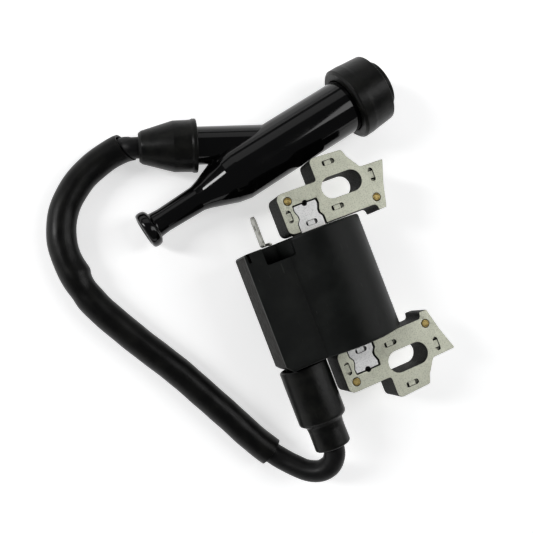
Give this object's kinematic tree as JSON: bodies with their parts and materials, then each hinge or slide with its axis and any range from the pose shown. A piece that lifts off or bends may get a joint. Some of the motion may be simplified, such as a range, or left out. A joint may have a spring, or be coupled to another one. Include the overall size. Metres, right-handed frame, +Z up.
{
  "type": "ignition coil",
  "caption": "Ignition coil on a laminated steel core, with a sleeved high-tension lead ending in a branched spark plug cap.",
  "frame": {"origin": "under the middle of the coil's footprint, on the surface that the coil lies on", "axes": "+X along the core's legs towards the pole faces, +Y along the centre bar towards the upper leg, +Z up through the core's thickness"},
  "size_m": [0.1247, 0.1283, 0.0327],
  "materials": {
    "core_steel": "bare laminated electrical steel, finely speckled",
    "bar_steel": "bare laminated electrical steel, lighter and finely pitted",
    "rivet_brass": "dull, formed by the press",
    "case_plastic": "matt dark grey moulding",
    "epoxy": "cast, slightly grained",
    "bobbin_plastic": "moulded glass-filled nylon",
    "copper_wire": "enamelled copper wire",
    "board": "lacquered glass-fibre board",
    "chip": "moulded epoxy package",
    "ceramic": "fired and coated",
    "plated_steel": "bright tin plate",
    "contact_brass": "turned",
    "rubber": "moulded, satin",
    "lead_pvc": "extruded, satin",
    "sleeve_pvc": "extruded, satin",
    "cap_phenolic": "polished moulding"
  },
  "bodies": {
    "coil": {"core_leg_upper": "core_steel", "core_leg_lower": "core_steel", "core_bar": "bar_steel", "rivet_upper_pole": "rivet_brass", "rivet_upper_bar": "rivet_brass", "rivet_lower_pole": "rivet_brass", "rivet_lower_bar": "rivet_brass", "coil_case": "case_plastic", "potting_fill": "epoxy", "primary_bobbin": "bobbin_plastic", "primary_winding": "copper_wire", "secondary_bobbin": "bobbin_plastic", "secondary_winding": "copper_wire", "igniter_board": "board", "power_transistor": "chip", "control_chip": "chip", "timing_capacitor": "ceramic", "bias_resistor_upper": "ceramic", "bias_resistor_lower": "ceramic", "kill_terminal": "plated_steel", "tower_pin": "contact_brass", "tower_boot": "rubber", "lead_jacket": "lead_pvc", "lead_conductor": "copper_wire", "lead_sleeve": "sleeve_pvc"},
    "cap": {"cap_body": "cap_phenolic", "cap_boot": "rubber", "plug_seal": "rubber", "contact_block": "contact_brass", "cap_screw": "plated_steel", "suppressor_resistor": "ceramic", "contact_spring": "plated_steel", "plug_socket": "contact_brass", "plug_clip": "plated_steel"}
  },
  "joints": [
    {"name": "cap_swivel", "type": "hinge", "parent": "coil", "child": "cap", "pos_m": [0.0031, 0.05334, 0.01093], "axis": [0.9532, -0.2962, 0.0615], "range_deg": [0, 41]}
  ]
}
